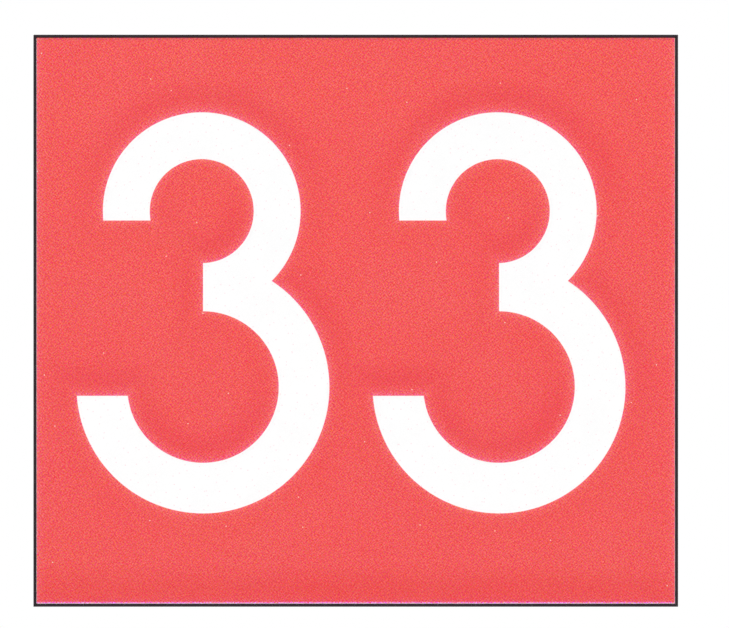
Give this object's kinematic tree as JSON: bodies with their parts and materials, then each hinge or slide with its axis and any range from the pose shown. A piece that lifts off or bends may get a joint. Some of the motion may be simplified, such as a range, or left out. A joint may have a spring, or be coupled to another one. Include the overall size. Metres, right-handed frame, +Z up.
{
  "type": "runway holding position sign",
  "caption": "Square-cornered panel sign: red retroreflective face with large white numerals, flush in a thin black frame, with hat-section back rails to bolt to legs.",
  "frame": {"origin": "middle of the four leg-bolt holes, in the plane of the back rails' rear faces", "axes": "+X to the right as the sign is read, +Y from the face to the back, +Z up"},
  "size_m": [0.515, 0.05, 0.457],
  "materials": {
    "sheet_aluminium": "mill finish, etched",
    "white_sheeting": "white retroreflective sheeting",
    "red_film": "transparent red overlay film",
    "frame_black": "black powder coat, satin",
    "foam_tape": "closed-cell acrylic foam",
    "key_aluminium": "sawn bar",
    "screw_steel": "stainless, turned",
    "rail_aluminium": "mill finish, roll formed",
    "rivet_aluminium": "bright",
    "nut_steel": "zinc plated"
  },
  "bodies": {
    "root": {"sign_sheet": "sheet_aluminium", "reflective_sheeting": "white_sheeting", "red_overlay": "red_film", "frame_top": "frame_black", "frame_bottom": "frame_black", "frame_left": "frame_black", "frame_right": "frame_black", "tape_top": "foam_tape", "tape_bottom": "foam_tape", "tape_left": "foam_tape", "tape_right": "foam_tape", "corner_key_top_left": "key_aluminium", "corner_key_top_right": "key_aluminium", "corner_key_bottom_left": "key_aluminium", "corner_key_bottom_right": "key_aluminium", "corner_screws": "screw_steel", "back_rail_upper": "rail_aluminium", "back_rail_lower": "rail_aluminium", "rail_rivets": "rivet_aluminium", "leg_nuts": "nut_steel"}
  },
  "joints": []
}
